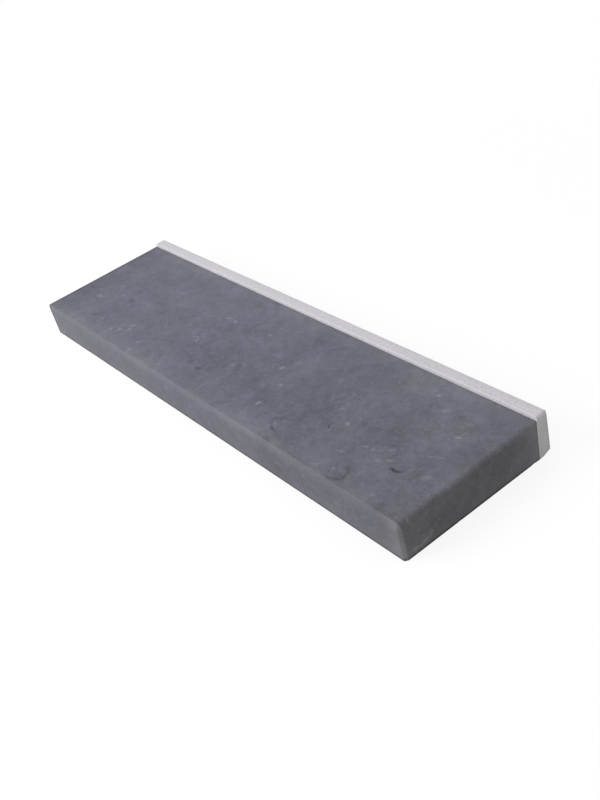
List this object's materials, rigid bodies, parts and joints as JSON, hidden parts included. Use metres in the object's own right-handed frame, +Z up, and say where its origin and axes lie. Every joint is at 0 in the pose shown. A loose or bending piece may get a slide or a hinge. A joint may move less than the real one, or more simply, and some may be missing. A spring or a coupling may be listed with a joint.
{
  "type": "stone door sill",
  "caption": "Honed stone sill slab with dressed arrises for a door opening, with a thin light strip bonded along its back that stands just above the top.",
  "frame": {"origin": "centre of the underside of slab and strip together, midway along the sill and midway between its front face and its back face", "axes": "+X along the sill, -Y towards the weather side with the dressed front nose, +Y towards the back strip, +Z up"},
  "size_m": [0.8, 0.215, 0.055],
  "materials": {
    "stone": "satin",
    "strip": "matte"
  },
  "bodies": {
    "root": {"stone_slab": "stone", "back_strip": "strip"}
  },
  "joints": []
}
